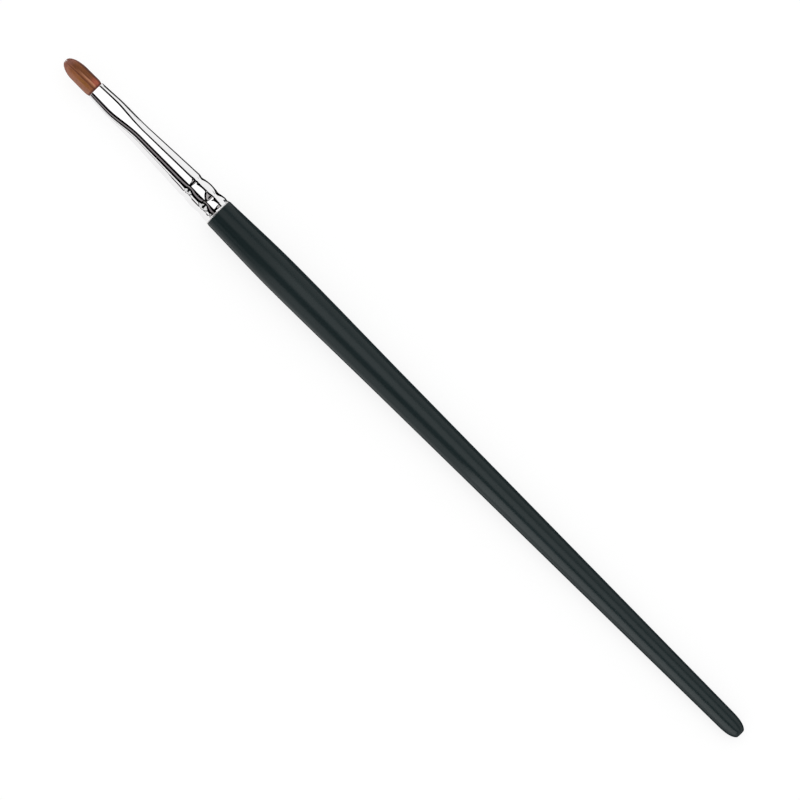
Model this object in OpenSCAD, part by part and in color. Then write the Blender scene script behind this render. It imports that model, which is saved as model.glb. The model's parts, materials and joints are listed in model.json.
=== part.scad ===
// Lip brush: a flat round-ended tuft of hair in a pressed and crimped metal ferrule on a slim turned
// handle. Every piece is drawn along its own axis, with the ferrule's mouth at zero, the hair
// towards minus X and the handle towards plus X. The brush then leans as it lies on a table,
// touching at the belly and at the heel of the tail, with its middle over the origin.

/* [Handle] */
// Length of the lacquered handle behind the ferrule
handle_len = 135; // [110:1:170]
// Diameter at the shoulder, against the ferrule's rim
shoulder_d = 5.86; // [5.7:0.02:6.2]
// Radius of the turned edge at the shoulder
shoulder_round = 0.15; // [0.05:0.01:0.25]
// Diameter at the belly, where the fingers hold the brush
belly_d = 6.6; // [6.3:0.02:7.4]
// Distance of the belly behind the shoulder
belly_back = 16; // [14:0.1:26]
// Distance behind the shoulder at which the long taper begins
taper_back = 45; // [34:0.1:60]
// Diameter where the long taper begins
taper_d = 5.84; // [5.2:0.02:6.2]
// Diameter that the long taper would reach at the very end
tail_d = 3.74; // [3:0.02:4.8]
// Length of the rounding at the tail
tail_round = 4; // [2:0.1:9]
// Diameter of the small flat on the tail
tail_flat_d = 1.8; // [1:0.1:2.6]
// Length of the tenon inside the ferrule
tenon_len = 11.9; // [8.5:0.1:14]

/* [Ferrule] */
// Length of the ferrule from its mouth to its rim
ferrule_len = 31.7; // [29:0.1:36]
// Thickness of the metal
wall = 0.22; // [0.15:0.01:0.3]
// Width over the pressed mouth
mouth_w = 3.6; // [3.1:0.02:4]
// Thickness over the pressed mouth
mouth_t = 2; // [1.6:0.02:2.6]
// Squareness of the pressed mouth, where 2 is an ellipse
mouth_power = 2.35; // [2:0.05:3]
// How far back the ferrule keeps the shape of its mouth
press_len = 4; // [2:0.1:6]
// Distance from the mouth at which the ferrule is round again
round_from = 12; // [9.5:0.1:12.4]
// Diameter over the rim, against the handle
rim_d = 5.76; // [5.4:0.02:5.84]
// Diameter over the bead between the two crimps
bead_d = 5.46; // [5.3:0.02:5.7]
// Distance of the front crimp from the rim
front_crimp_back = 6.6; // [5.4:0.1:7.4]
// Depth of the front crimp below the plain cone
front_crimp_depth = 0.22; // [0.1:0.01:0.3]
// Distance of the rear crimp from the rim
rear_crimp_back = 2.6; // [1.6:0.1:3]
// Depth of the rear crimp below the plain cone
rear_crimp_depth = 0.3; // [0.15:0.01:0.35]
// Length over which the metal falls into the front crimp
crimp_lead = 0.8; // [0.5:0.05:1.4]

/* [Hair] */
// How far the hair stands out of the mouth
hair_out = 7.8; // [6:0.1:10]
// Width across the loose hair
hair_w = 3.58; // [3.2:0.02:3.9]
// Length over which the hair spreads from the mouth to that width
spread_len = 0.8; // [0.8:0.1:2]
// Length of the dome on its fuller side, towards minus Y
full_side_len = 3.6; // [1.8:0.1:4]
// Length of the dome on its sloping side, towards plus Y
slope_side_len = 3.8; // [3:0.1:5]
// Squareness of the dome, where 2 is an ellipse
dome_power = 2.05; // [2:0.05:3]
// How far the side hairs lean in along the dome, from 0, straight, to 1, all to the tip
lean_in = 0.55; // [0:0.05:0.8]
// Thickness of the edge that the hair comes to
edge_t = 0.18; // [0.12:0.01:0.3]
// Number of locks around the tuft
locks = 30; // [20:2:36]
// Depth of the grooves between the locks
lock_depth = 0.09; // [0.03:0.01:0.12]
// How much shorter the shortest hairs are than the dome
lock_uneven = 0.3; // [0:0.02:0.4]
// Length of the parting down from the tip
parting_len = 3.4; // [1:0.1:5]
// How much shorter the hair is where the parting reaches the tip
parting_notch = 0.2; // [0:0.05:0.5]
// Length of the hair inside the ferrule
root_len = 12.2; // [11:0.1:13]

/* [Binding and glue] */
// Diameter of the binding thread
thread_d = 0.14; // [0.1:0.01:0.2]
// Number of turns of thread
thread_turns = 9; // [5:1:12]
// Distance of the last turn from the hair's butt
thread_back = 0.9; // [0.8:0.05:1.5]
// Share of the room between the hair's butt and the tenon that the glue fills
glue_fill = 0.4; // [0.2:0.05:0.8]
// How far the glue laps the hair's butt
glue_lap = 0.6; // [0.2:0.05:0.7]

/* [Fits] */
// Clearance between neighbouring pieces
fit = 0.02; // [0.01:0.005:0.04]

/* [Hidden] */

// Steps along a curve of a turned outline, and points around the pressed metal
curve_steps = 12;
press_points = 64;
press_steps = 13;
// The pressed end's facets stay this far inside the turned end's round wall, so that the two join
seam_inset = 0.003;
// Facets around the hair for each lock, and rings along the loose hair
lock_points = 4;
hair_steps = 12;
// Turns of thread bed into each other by this share of their diameter
thread_bed = 0.08;
// Slope of the handle's outline as it leaves the shoulder
shoulder_slope = 0.02;
// Power of the tail's rounding, where 2 is an ellipse
tail_power = 2.6;
// The tuft swells by this share past the mouth, and is this much thinner along the parting
belly_swell = 0.1;
parting_depth = 0.35;

shoulder_x = ferrule_len;
tail_x = shoulder_x + handle_len;
tenon_x = shoulder_x - tenon_len;
front_crimp_x = ferrule_len - front_crimp_back;
rear_crimp_x = ferrule_len - rear_crimp_back;
hair_points = locks * lock_points;

function mix(a, b, t) = a + (b - a) * t;
function clamp01(t) = min(1, max(0, t));
function smooth(t) = pow(clamp01(t), 2) * (3 - 2 * clamp01(t));

// A curve from r0 to r1 over a span, leaving and arriving at the given slopes
function ease(t, r0, slope0, r1, slope1, span) =
    mix(r0, r1, smooth(t))
    + span * slope0 * t * pow(1 - t, 2)
    - span * slope1 * pow(t, 2) * (1 - t);

// The ferrule starts as a straight cone, whose girth at the mouth is that of the pressed shape
mouth_ratio = mouth_t / mouth_w;
mouth_girth_r = mouth_t / 2 + (mouth_w - mouth_t) / PI;
function cone_r(x) = mix(mouth_girth_r, rim_d / 2, x / ferrule_len);

// Thickness over width at x. Pressing keeps the girth, so the two half sizes follow from it.
function roundness(x) = smooth((x - press_len) / (round_from - press_len));
function press_ratio(x) = mix(mouth_ratio, 1, roundness(x));
function press_power(x) = mix(mouth_power, 2, roundness(x));
function half_w(x) = PI * cone_r(x) / (PI * press_ratio(x) + 2 * (1 - press_ratio(x)));
function half_t(x) = press_ratio(x) * half_w(x);

// A point on an oval of the given squareness, at share u of the way around from plus Y
function squared(wave, power) = sign(wave) * pow(abs(wave), 2 / power);
function oval_point(half_y, half_z, power, u) =
    [half_y * squared(cos(360 * u), power), half_z * squared(sin(360 * u), power)];

// Outer outline of the crimped end, from where the ferrule is round to its rim
front_valley_r = cone_r(front_crimp_x) - front_crimp_depth;
rear_valley_r = cone_r(rear_crimp_x) - rear_crimp_depth;
bead_rise = bead_d / 2 - (front_valley_r + rear_valley_r) / 2;
function bead_r(t) = mix(front_valley_r, rear_valley_r, t) + 4 * bead_rise * t * (1 - t);
function flare_r(t) = mix(rear_valley_r, rim_d / 2, 1 - pow(1 - t, 2));
function lead_r(t) = mix(cone_r(front_crimp_x - crimp_lead), front_valley_r, smooth(t));
crimped_outline = concat(
    [[round_from, cone_r(round_from)]],
    [for (i = [0:curve_steps / 2 - 1]) let (t = i / (curve_steps / 2))
        [front_crimp_x - crimp_lead * (1 - t), lead_r(t)]],
    [for (i = [0:curve_steps - 1]) let (t = i / curve_steps)
        [mix(front_crimp_x, rear_crimp_x, t), bead_r(t)]],
    [for (i = [0:curve_steps]) let (t = i / curve_steps)
        [mix(rear_crimp_x, ferrule_len, t), flare_r(t)]]
);
function inside(outline, gap) = [for (p = outline) [p[0], p[1] - gap]];
function reversed(list) = [for (i = [len(list) - 1:-1:0]) list[i]];

// Height of the ferrule's crimped outline at x, read between its points
function outline_r(x) = lookup(x, crimped_outline);

// The tenon fills the crimped ferrule
tenon_outline = concat(
    [[tenon_x, outline_r(tenon_x) - wall - fit]],
    [for (p = inside(crimped_outline, wall + fit)) if (p[0] > tenon_x && p[0] < ferrule_len) p],
    [[ferrule_len, rim_d / 2 - wall - fit]]
);

// Outline of the handle behind its shoulder
taper_slope = (tail_d - taper_d) / 2 / (handle_len - taper_back);
round_x = tail_x - tail_round;
function taper_r(x) = taper_d / 2 + taper_slope * (x - shoulder_x - taper_back);
// The rounding stops at the flat, where its share of the full rounding is this
flat_share = pow(1 - pow(tail_flat_d / 2 / taper_r(tail_x), tail_power), 1 / tail_power);
function tail_r(t) =
    taper_r(round_x + t * tail_round) * pow(1 - pow(t * flat_share, tail_power), 1 / tail_power);
grip_outline = concat(
    [for (a = [0:30:90])
        [shoulder_x + shoulder_round * (1 - cos(a)), shoulder_d / 2 - shoulder_round * (1 - sin(a))]],
    [for (i = [1:curve_steps - 1]) let (t = i / curve_steps)
        [shoulder_x + t * belly_back,
         ease(t, shoulder_d / 2, shoulder_slope, belly_d / 2, 0, belly_back)]],
    [for (i = [0:curve_steps]) let (t = i / curve_steps)
        [shoulder_x + mix(belly_back, taper_back, t),
         ease(t, belly_d / 2, 0, taper_d / 2, taper_slope, taper_back - belly_back)]],
    [for (i = [0:curve_steps]) let (t = sin(90 * i / curve_steps))
        [round_x + t * tail_round, tail_r(t)]]
);

// Where a straight edge laid under the outline touches its front half and its back half
function touch(outline, slope, best, i = 0) =
    i == len(outline) ? best
    : touch(outline, slope,
        best == undef || outline[i][1] + slope * outline[i][0] > best[1] + slope * best[0]
            ? outline[i] : best, i + 1);
half_way_x = shoulder_x + taper_back;
front_half = [for (p = grip_outline) if (p[0] <= half_way_x) p];
back_half = [for (p = grip_outline) if (p[0] > half_way_x) p];
function lean_slope(passes, slope = 0) =
    let (b = touch(front_half, slope), h = touch(back_half, slope))
    passes == 0 ? slope : lean_slope(passes - 1, (b[1] - h[1]) / (h[0] - b[0]));
rest_slope = lean_slope(4);
rest_lean = atan(rest_slope);
belly_touch = touch(front_half, rest_slope);
rest_height = (belly_touch[1] + rest_slope * belly_touch[0]) * cos(rest_lean);
rest_middle = (tail_x - hair_out) / 2 * cos(rest_lean);

// Lays a piece down in the way that the whole brush rests
module at_rest() {
    translate([-rest_middle, 0, rest_height]) rotate([0, rest_lean, 0]) children();
}

// Turns an outline of [x, radius] points about the brush's axis
module turned(outline) {
    rotate([0, 90, 0]) rotate_extrude($fn = 96) polygon([for (p = outline) [p[1], p[0]]]);
}

module handle() {
    color([0.13, 0.17, 0.18]) at_rest()
        turned(concat([[tenon_x, 0]], tenon_outline, grip_outline, [[tail_x, 0]]));
}

// Faces between rings of equal size, each ring running the same way around
function ring_faces(rings, size, first = 0) =
    [for (j = [0:rings - 2], i = [0:size - 1])
        let (a = first + j * size + i, b = first + j * size + (i + 1) % size)
        each [[a, b, b + size], [a, b + size, a + size]]];
function flipped(faces) = [for (f = faces) [f[2], f[1], f[0]]];

// The pressed end: one skin outside and one inside, joined at the mouth and at the back
module pressed_end() {
    stations = [for (j = [0:press_steps])
        let (t = j / press_steps) round_from * (t < 0.25 ? t / 0.25 * press_len / round_from
            : mix(press_len / round_from, 1, (t - 0.25) / 0.75))];
    function skin(gap) = [for (x = stations, i = [0:press_points - 1])
        let (p = oval_point(half_w(x) - gap, half_t(x) - gap, press_power(x), i / press_points))
        [x, p[0], p[1]]];
    rings = len(stations);
    inner_first = rings * press_points;
    last_ring = (rings - 1) * press_points;
    ends = [for (i = [0:press_points - 1])
        let (a = i, b = (i + 1) % press_points)
        each [
            [b, a, inner_first + a], [b, inner_first + a, inner_first + b],
            [last_ring + a, last_ring + b, inner_first + last_ring + b],
            [last_ring + a, inner_first + last_ring + b, inner_first + last_ring + a]
        ]];
    polyhedron(
        points = concat(skin(seam_inset), skin(wall - seam_inset)),
        faces = concat(
            flipped(ring_faces(rings, press_points)),
            ring_faces(rings, press_points, inner_first),
            ends)
    );
}

module ferrule() {
    color([0.82, 0.82, 0.83]) at_rest() union() {
        turned(concat(crimped_outline, reversed(inside(crimped_outline, wall))));
        pressed_end();
    }
}

// Radius of the hair under the thread, which just clears the pressed metal
tie_x = root_len - thread_back;
tie_len = thread_d * (1 + (thread_turns - 1) * (1 - thread_bed));
tie_r = half_t(tie_x - tie_len) - wall - thread_d - 2 * fit;
// The dome narrows from full width over the last stretch, which is shorter on the fuller side
function dome_len(side) = side < 0 ? full_side_len : slope_side_len;
function dome_width(x, side) =
    let (t = clamp01(1 + (x - hair_out) / dome_len(side)))
    pow(1 - pow(t, dome_power), 1 / dome_power);
// A hair at a share side of the half width leans in, and ends where it meets the dome
function hair_len(side) =
    let (meets = abs(side) * (1 - lean_in) / (1 - lean_in * abs(side)))
    hair_out - dome_len(side) * (1 - pow(1 - pow(meets, dome_power), 1 / dome_power));
// Each lock's own shortness, and how deep the groove is at a hair. The locks differ in width.
lock_short = rands(0, 1, locks, 11);
function groove(i) =
    let (turn = 360 * i / hair_points)
    1 - abs(sin(180 * i / lock_points + 35 * sin(3 * turn) + 25 * sin(7 * turn + 60)));
// The parting leaves the tip a little towards minus Y and drifts to plus Y lower down
function parting(side, share) =
    exp(-pow((side - mix(0.04, -0.12, share)) / 0.1, 2))
    * smooth((share * hair_out - hair_out + parting_len) / parting_len);

// A point of the root, at x inside the ferrule
function root_point(i, x) =
    let (
        tied = smooth((x - tie_x + 3 * tie_len) / (2 * tie_len)),
        sunk = wall + fit + 0.3 * lock_depth * groove(i),
        p = oval_point(
            mix(half_w(x) - sunk, tie_r, tied),
            mix(half_t(x) - sunk, tie_r, tied),
            mix(press_power(x), 2, tied),
            i / hair_points)
    )
    [x, p[0], p[1]];

// A point of the loose hair, at a share of the way from the mouth to the hair's own tip
root_half_w = half_w(0) - wall - fit;
root_half_t = half_t(0) - wall - fit;
function loose_point(i, share) =
    let (
        side = oval_point(1, 1, mouth_power, i / hair_points)[0],
        upper = i < hair_points / 2,
        uneven = 0.5 * lock_short[floor(i / lock_points)] + 0.5 * groove(i),
        own_len = hair_len(side) - smooth(2 * share - 1)
            * (lock_uneven * uneven + parting_notch * parting(side, 1) * (upper ? 1 : 0.4)),
        x = own_len * share,
        spread = smooth(x / spread_len),
        sunk = lock_depth * groove(i) * (0.3 + 0.7 * spread),
        p = oval_point(
            mix(root_half_w, hair_w / 2, spread) - sunk,
            root_half_t * (1 + belly_swell * spread) - sunk,
            mouth_power,
            i / hair_points),
        narrow = 1 - lean_in * (1 - dome_width(x, side)),
        thin = mix(1, edge_t / 2 / root_half_t, pow(share, 1.7)),
        parted = upper ? 1 - parting_depth * parting(side, share) : 1
    )
    [-x, p[0] * narrow, p[1] * thin * parted];

module hair_tuft() {
    root_stations = [root_len, tie_x, tie_x - tie_len, tie_x - 2 * tie_len, tie_x - 3 * tie_len,
        mix(press_len, tie_x - 3 * tie_len, 0.5), press_len, press_len / 2];
    rings = len(root_stations) + hair_steps + 1;
    points = concat(
        [for (x = root_stations, i = [0:hair_points - 1]) root_point(i, x)],
        [for (j = [0:hair_steps], i = [0:hair_points - 1]) loose_point(i, j / hair_steps)]);
    // Each end is closed by a ladder between the upper and the lower half of its ring
    function ladder(first) = [for (i = [0:hair_points / 2 - 1])
        let (a = first + i, b = first + i + 1,
            c = first + hair_points - i - 1, d = first + (hair_points - i) % hair_points)
        each (i == 0 ? [[a, b, c]] : b == c ? [[a, b, d]] : [[a, b, c], [a, c, d]])];
    color([0.48, 0.29, 0.17]) at_rest() polyhedron(
        points = points,
        faces = concat(
            ring_faces(rings, hair_points),
            ladder(hair_points * (rings - 1)),
            flipped(ladder(0)))
    );
}

module binding_thread() {
    pitch = thread_d * (1 - thread_bed);
    color([0.86, 0.82, 0.72]) at_rest() rotate([0, 90, 0]) rotate_extrude($fn = 96)
        for (i = [0:thread_turns - 1])
            translate([tie_r + fit + thread_d / 2, tie_x - thread_d / 2 - i * pitch])
                circle(d = thread_d, $fn = 24);
}

module glue_plug() {
    front_x = root_len - glue_lap;
    back_x = mix(root_len, tenon_x, glue_fill);
    color([0.75, 0.6, 0.35]) at_rest() turned([
        [front_x, tie_r + fit],
        [front_x, half_t(front_x) - wall - fit],
        [round_from, half_t(round_from) - wall - fit],
        [back_x, cone_r(back_x) - wall - fit],
        [back_x, 0],
        [root_len + fit, 0],
        [root_len + fit, tie_r + fit]
    ]);
}

handle();
ferrule();
hair_tuft();
binding_thread();
glue_plug();
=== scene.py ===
# %% [markdown]
# # Dressing a lip brush for its picture
#
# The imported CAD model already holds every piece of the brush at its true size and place: the
# handle, the ferrule, the hair, and the thread and glue inside. This notebook loads it, sets up a
# small photo studio, and gives each piece the finish and the fine detail that the solids leave out.
# The hair gets most of the work, because a solid can only stand in for a thousand separate hairs.

# %% Load the frame
import json
import math

import bpy
import numpy as np
from mathutils import Matrix, Vector


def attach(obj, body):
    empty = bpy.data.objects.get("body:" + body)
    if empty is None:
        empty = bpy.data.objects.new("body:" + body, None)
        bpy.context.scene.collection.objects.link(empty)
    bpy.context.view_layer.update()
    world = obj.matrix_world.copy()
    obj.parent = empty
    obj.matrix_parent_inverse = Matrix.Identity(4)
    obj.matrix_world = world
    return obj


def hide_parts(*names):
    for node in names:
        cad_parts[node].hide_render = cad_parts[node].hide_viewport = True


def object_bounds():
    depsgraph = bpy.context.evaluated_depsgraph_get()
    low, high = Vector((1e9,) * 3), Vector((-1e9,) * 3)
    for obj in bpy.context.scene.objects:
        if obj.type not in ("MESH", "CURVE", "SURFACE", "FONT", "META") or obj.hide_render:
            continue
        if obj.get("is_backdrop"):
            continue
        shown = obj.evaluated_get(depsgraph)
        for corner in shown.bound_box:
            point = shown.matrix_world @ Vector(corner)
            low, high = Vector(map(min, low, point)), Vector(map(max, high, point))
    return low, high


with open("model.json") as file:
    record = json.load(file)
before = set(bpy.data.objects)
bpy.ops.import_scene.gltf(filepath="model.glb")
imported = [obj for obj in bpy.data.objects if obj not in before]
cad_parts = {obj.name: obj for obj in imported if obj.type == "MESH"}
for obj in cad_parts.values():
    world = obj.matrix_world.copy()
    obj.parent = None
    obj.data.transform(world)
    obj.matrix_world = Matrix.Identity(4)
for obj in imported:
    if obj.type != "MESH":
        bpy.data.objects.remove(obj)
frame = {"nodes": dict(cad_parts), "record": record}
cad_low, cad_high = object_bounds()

print("CAD pieces:", ", ".join(sorted(frame["nodes"])))
print("CAD box in mm:", [round((high - low) * 1000, 2) for low, high in zip(cad_low, cad_high)])

# %% [markdown]
# ## Shader maths as sums
#
# Every finish here is a small sum worked out over the surface: how rough the lacquer is at this
# point, how pale this hair is. Blender adds such sums up with Math nodes. Laying them out one by one
# hides the sum, so a wire from a node is wrapped in a class that understands plus, minus and times,
# and lays the Math nodes itself. Colours are mixed with Mix nodes, as a Math node would turn them grey.

# %% Wires that can be added and multiplied
class Wire:
    """A node's output. A sum written with wires lays the Math nodes that work it out."""

    def __init__(self, board, socket):
        self.board, self.socket = board, socket

    def reckon(self, operation, *values):
        return self.board.node("Math", {"operation": operation}, dict(enumerate(values)))

    def __add__(self, other):
        return self.reckon("ADD", self, other)

    def __sub__(self, other):
        return self.reckon("SUBTRACT", self, other)

    def __rsub__(self, other):
        return self.reckon("SUBTRACT", other, self)

    def __mul__(self, other):
        return self.reckon("MULTIPLY", self, other)

    def __truediv__(self, other):
        return self.reckon("DIVIDE", self, other)

    def __pow__(self, other):
        return self.reckon("POWER", self, other)

    __radd__, __rmul__ = __add__, __mul__


print("a wire understands + - * / and **")

# %% [markdown]
# A board is the node tree of one material, or of the world, with one method that lays any node. The
# settings of a node, such as what a Math node does, come first, because they change its sockets.

# %% A board to lay nodes on
class Board:
    """The node tree of a material or of the world."""

    def __init__(self, owner):
        owner.use_nodes = True
        self.tree = owner.node_tree

    def plug(self, node, values):
        for name, value in values.items():
            if isinstance(value, Wire):
                self.tree.links.new(value.socket, node.inputs[name])
            else:
                node.inputs[name].default_value = value

    def node(self, kind, settings=None, values=None, out=0):
        node = self.tree.nodes.new("ShaderNode" + kind)
        for name, value in (settings or {}).items():
            if name == "stops":
                self.set_stops(node.color_ramp, value)
            else:
                setattr(node, name, value)
        self.plug(node, values or {})
        return Wire(self, node.outputs[out])

    def set_stops(self, ramp, stops):
        while len(ramp.elements) < len(stops):
            ramp.elements.new(1)
        for element, (position, colour) in zip(ramp.elements, stops):
            element.position, element.color = position, colour

    def mixed(self, share, first, second):
        """A colour on the way from the first to the second."""
        return self.node("Mix", {"data_type": "RGBA"}, {0: share, 6: first, 7: second}, out=2)

    def noise(self, place, scale, detail=2):
        return self.node("TexNoise", {}, {"Vector": place, "Scale": scale, "Detail": detail})

    def stretched(self, x, y, z):
        """The place on the piece, in metres, scaled differently along each axis."""
        place = self.node("TexCoord", out="Object")
        return self.node("Mapping", {}, {"Vector": place, "Scale": (x, y, z)})

    def fade_in(self, value, start, end):
        """A mask that rises softly from zero, where the value is start, to one at end."""
        return self.node("MapRange", {"interpolation_type": "SMOOTHSTEP"}, {
            "Value": value, "From Min": start, "From Max": end, "To Min": 0.0, "To Max": 1.0})

    def end(self, shader):
        output = next(n for n in self.tree.nodes if n.type.startswith("OUTPUT"))
        self.tree.links.new(shader.socket, output.inputs["Surface"])


def paint(red, green, blue):
    """A colour as a paint program gives it, 0 to 255, turned into the linear light Blender uses."""
    shares = [c / 255 for c in (red, green, blue)]
    return (*(s / 12.92 if s < 0.04045 else ((s + 0.055) / 1.055) ** 2.4 for s in shares), 1)


def finish(name):
    """A new material's board, and the shader on it that its values are plugged into."""
    material = bpy.data.materials.new(name)
    board = Board(material)
    shader = next(n for n in board.tree.nodes if n.type == "BSDF_PRINCIPLED")
    return material, board, shader


print("a mid brown in linear light:", [round(c, 3) for c in paint(123, 75, 44)])

# %% [markdown]
# ## The camera
#
# The brush lies on a table and is seen from above, so the camera looks down. It is turned by nearly
# half a right angle, so that the hair points to the upper left corner. It stands ten degrees to one
# side of straight up, which the lines on the flat mouth of the ferrule tell. A long lens far away
# keeps the two ends at one scale, as a catalogue picture does. Its place follows from two points:
# where the tip of the hair and the end of the tail stand in a picture of 800 by 800.

# %% Place the camera by two points of the picture
PICTURE = 800
TIP_PIXEL = np.array((65.4, 60.9))
TAIL_PIXEL = np.array((742.0, 733.5))
EYE_LEVEL = 0.0033
CAMERA_ROLL_DEG = -10

across_picture = TAIL_PIXEL - TIP_PIXEL
metre_per_pixel = (cad_high.x - cad_low.x) / np.linalg.norm(across_picture)
turn = math.atan2(across_picture[1], across_picture[0])
right = np.array((math.cos(turn), math.sin(turn)))
up = np.array((-math.sin(turn), math.cos(turn)))
off_centre = (TIP_PIXEL + TAIL_PIXEL) / 2 - PICTURE / 2
roll = math.radians(CAMERA_ROLL_DEG)
along, out_to_camera = np.array((1, 0, 0)), np.array((0, math.sin(roll), math.cos(roll)))
sideways = np.cross(out_to_camera, along)
right, up = (along * share[0] + sideways * share[1] for share in (right, up))
brush_middle = np.array(((cad_low.x + cad_high.x) / 2, 0, EYE_LEVEL))
aim = brush_middle - (right * off_centre[0] - up * off_centre[1]) * metre_per_pixel

lens = bpy.data.cameras.new("long_lens")
lens.lens = 200
camera = bpy.data.objects.new("camera", lens)
bpy.context.scene.collection.objects.link(camera)
distance = PICTURE * metre_per_pixel * lens.lens / lens.sensor_width
camera.location = aim + out_to_camera * distance
camera.rotation_euler = Matrix((right, up, out_to_camera)).transposed().to_euler()
lens.clip_end = 20
bpy.context.scene.camera = camera
bpy.context.scene.view_settings.view_transform = "Standard"
print(f"camera {distance * 1000:.0f} mm up, turned {math.degrees(turn):.2f} degrees")

# %% [markdown]
# ## The studio
#
# Bright metal has hardly any colour of its own: it shows the room. So the room is built for the
# ferrule's sake: a white tent, a soft box overhead, cards around the brush and cloth on the table.
# The tent is the world. It gives plain level light, and it is pure white to the camera, in
# reflections and through glass, which Blender's Light Path node tells apart.

# %% The white tent
TENT_LIGHT = 0.86


def seen_plainly(board):
    """One for what is seen, straight on, in a reflection or through glass, and zero for light."""
    camera, glossy, through = (board.node("LightPath", out=f"Is {ray} Ray")
                               for ray in ("Camera", "Glossy", "Transmission"))
    either = camera.reckon("MAXIMUM", camera, glossy)
    return either.reckon("MAXIMUM", either, through)


studio = bpy.context.scene.world or bpy.data.worlds.new("studio")
bpy.context.scene.world = studio
tent = Board(studio)
tent.end(tent.node("Background", {}, {
    "Color": (1, 1, 1, 1), "Strength": TENT_LIGHT + (1 - TENT_LIGHT) * seen_plainly(tent)}))
print("the tent lights the brush at", TENT_LIGHT)


# %% [markdown]
# The floor is white wherever it is seen, and keeps a share of a plain white surface, so that the
# soft shadow of the brush still falls on it.

# %% The floor
def flat_piece(name, corners):
    mesh = bpy.data.meshes.new(name)
    mesh.from_pydata([tuple(c) for c in corners], [], [(0, 1, 2, 3)])
    piece = bpy.data.objects.new(name, mesh)
    bpy.context.scene.collection.objects.link(piece)
    piece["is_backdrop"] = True
    return piece


SHADOW_SHARE = 0.25
FLOOR_REACH = 4.0
PAPER_WHITE = (0.9, 0.9, 0.9, 1)
FLOOR_GLOW = 1.07

floor = flat_piece("floor", [(x * FLOOR_REACH, y * FLOOR_REACH, 0)
                             for x, y in ((-1, -1), (1, -1), (1, 1), (-1, 1))])
floor_material = bpy.data.materials.new("white_table")
table = Board(floor_material)
paper = table.node("BsdfDiffuse", {}, {"Color": PAPER_WHITE})
glow = table.node("Emission", {}, {"Color": (1, 1, 1, 1), "Strength": FLOOR_GLOW})
table.end(table.node("MixShader", {}, {0: seen_plainly(table) * (1 - SHADOW_SHARE), 1: paper, 2: glow}))
floor_material.cycles.emission_sampling = "NONE"
floor.data.materials.append(floor_material)
print(f"the floor reaches {FLOOR_REACH:.0f} m to each side")


# %% [markdown]
# ## Hanging a card
#
# A round tube gathers the whole room into thin lines along itself. What it shows at a point follows
# from the angle, measured round the brush from the camera, at which the light comes in. So each card
# is hung by two such angles, and far away, where all of the tube sees it alike. A card is one flat
# plane and cuts straight across its arc, so whatever hangs in front of a wide card must be clearly
# nearer. Only reflections see the cards, so that they take no light away.

# %% Cards and cloths
CARD_FAR = 3.0
LOWEST_EDGE = 0.0004
CLOTH_THICK = 0.0001
BLACK = (0.0, 0.0, 0.0, 1)


def glowing(strength):
    """A white, or whiter than white, for what stands for a lamp."""
    return (strength, strength, strength, 1)


def hang(name, corners, light, lights_up=False):
    """A card or cloth of one plain colour, seen in reflections. It can light the brush too."""
    piece = flat_piece(name, corners)
    material = bpy.data.materials.new(name)
    board = Board(material)
    board.end(board.node("Emission", {}, {"Color": light, "Strength": 1}))
    if not lights_up:
        material.cycles.emission_sampling = "NONE"
    piece.data.materials.append(material)
    piece.visible_camera = piece.visible_shadow = piece.visible_transmission = False
    piece.visible_diffuse = lights_up
    print(f"{name}: brightness {max(light[:3]):.2f}")


def card(name, edges_deg, light, first_x=(-6.0, 6.0), last_x=None, far=CARD_FAR, lights_up=False):
    """A card between two angles from the camera, towards plus Y, as the ferrule sees it."""
    corners = []
    for degrees, ends in zip(edges_deg, (first_x, (last_x or first_x)[::-1])):
        angle = roll + math.radians(degrees)
        y, z = far * math.sin(angle), far * math.cos(angle)
        corners += [(x, y, max(z, LOWEST_EDGE)) for x in ends]
    hang(name, corners, light, lights_up)


def cloth(name, light, near_y, far_y, near_x, far_x=None):
    """A piece of cloth on the table. Its ends along the brush may differ at its two edges."""
    (a, b), (d, c) = near_x, far_x or near_x
    hang(name, [(a, near_y, CLOTH_THICK), (b, near_y, CLOTH_THICK),
                (c, far_y, CLOTH_THICK), (d, far_y, CLOTH_THICK)], light)


print(f"a card hangs {CARD_FAR:.0f} m away, unless it says otherwise")

# %% [markdown]
# Towards minus Y hang the cards of the broad dark band: a black wall with a grey card in its middle,
# and under it a dark wall with a white window. Along the brush the grey card and the window have
# ends and gaps. The plain cone never sees those, but the slopes of the crimped grooves turn its view
# far to both sides, and there the gaps become the short dark bars in the grooves.

# %% The dark side
GREY_CARD, END_CARD = paint(140, 134, 136), paint(150, 146, 146)

card("black_wall", (-5, -56), BLACK)
card("grey_card", (-24, -36), GREY_CARD, first_x=(-1.9, 0.56), far=2.5)
card("grey_end_card", (-24, -36), END_CARD, first_x=(0.7, 3.0), far=2.5)
card("grey_start_card", (-24, -36), END_CARD, first_x=(-5.0, -2.2), far=2.5)
card("low_wall", (-55, -73), paint(44, 38, 42))
card("low_window", (-56, -69), glowing(1.0), first_x=(-1.3, 0.5), far=2.9)
card("low_end_window", (-50, -69), glowing(0.8), first_x=(0.66, 3.0), far=2.9)
card("low_start_window", (-50, -69), glowing(0.8), first_x=(-4.0, -1.5), far=2.9)

# %% [markdown]
# Overhead hangs the soft box, which gives the broad white band, and is the one card that lights the
# brush too. Its end towards the tail is cut on a slant, with a black flap and a smaller grey flap
# beyond it. They draw the dark stroke and the grey patch on the front slope of each groove.

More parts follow.
